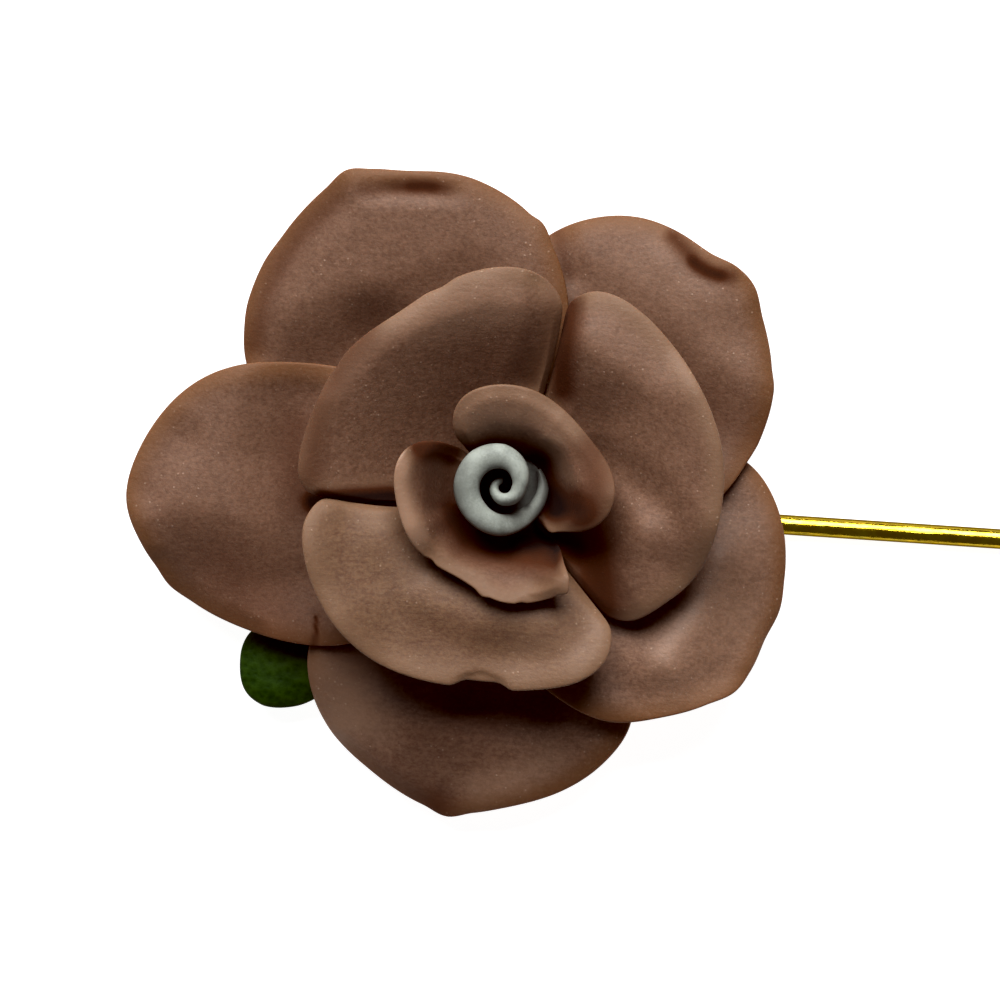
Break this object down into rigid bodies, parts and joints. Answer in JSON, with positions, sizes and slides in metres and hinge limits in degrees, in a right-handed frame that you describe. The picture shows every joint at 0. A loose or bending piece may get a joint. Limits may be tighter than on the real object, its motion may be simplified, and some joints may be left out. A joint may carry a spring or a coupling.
{
  "type": "flower lapel pin",
  "caption": "Clay rose with three rings of petals round a rolled bud, and a leaf tip below, glued to the pad of a straight stick pin.",
  "frame": {"origin": "middle of the pad's back face, where the pin rests on a surface", "axes": "+Z is the way that the flower faces; +X runs along the pin to its point"},
  "size_m": [0.0827, 0.0317, 0.0095],
  "materials": {
    "petal_clay": "fine-grained soft clay, matte with a faint sheen",
    "bud_clay": "smooth grey-white clay, satin",
    "leaf_clay": "dark green clay, matte",
    "gilt_metal": "polished gold plate"
  },
  "bodies": {
    "root": {"stick_pin": "gilt_metal", "outer_petal_1": "petal_clay", "outer_petal_2": "petal_clay", "outer_petal_3": "petal_clay", "outer_petal_4": "petal_clay", "outer_petal_5": "petal_clay", "middle_petal_1": "petal_clay", "middle_petal_2": "petal_clay", "middle_petal_3": "petal_clay", "inner_petal_1": "petal_clay", "inner_petal_2": "petal_clay", "bud": "bud_clay", "leaf": "leaf_clay"}
  },
  "joints": []
}
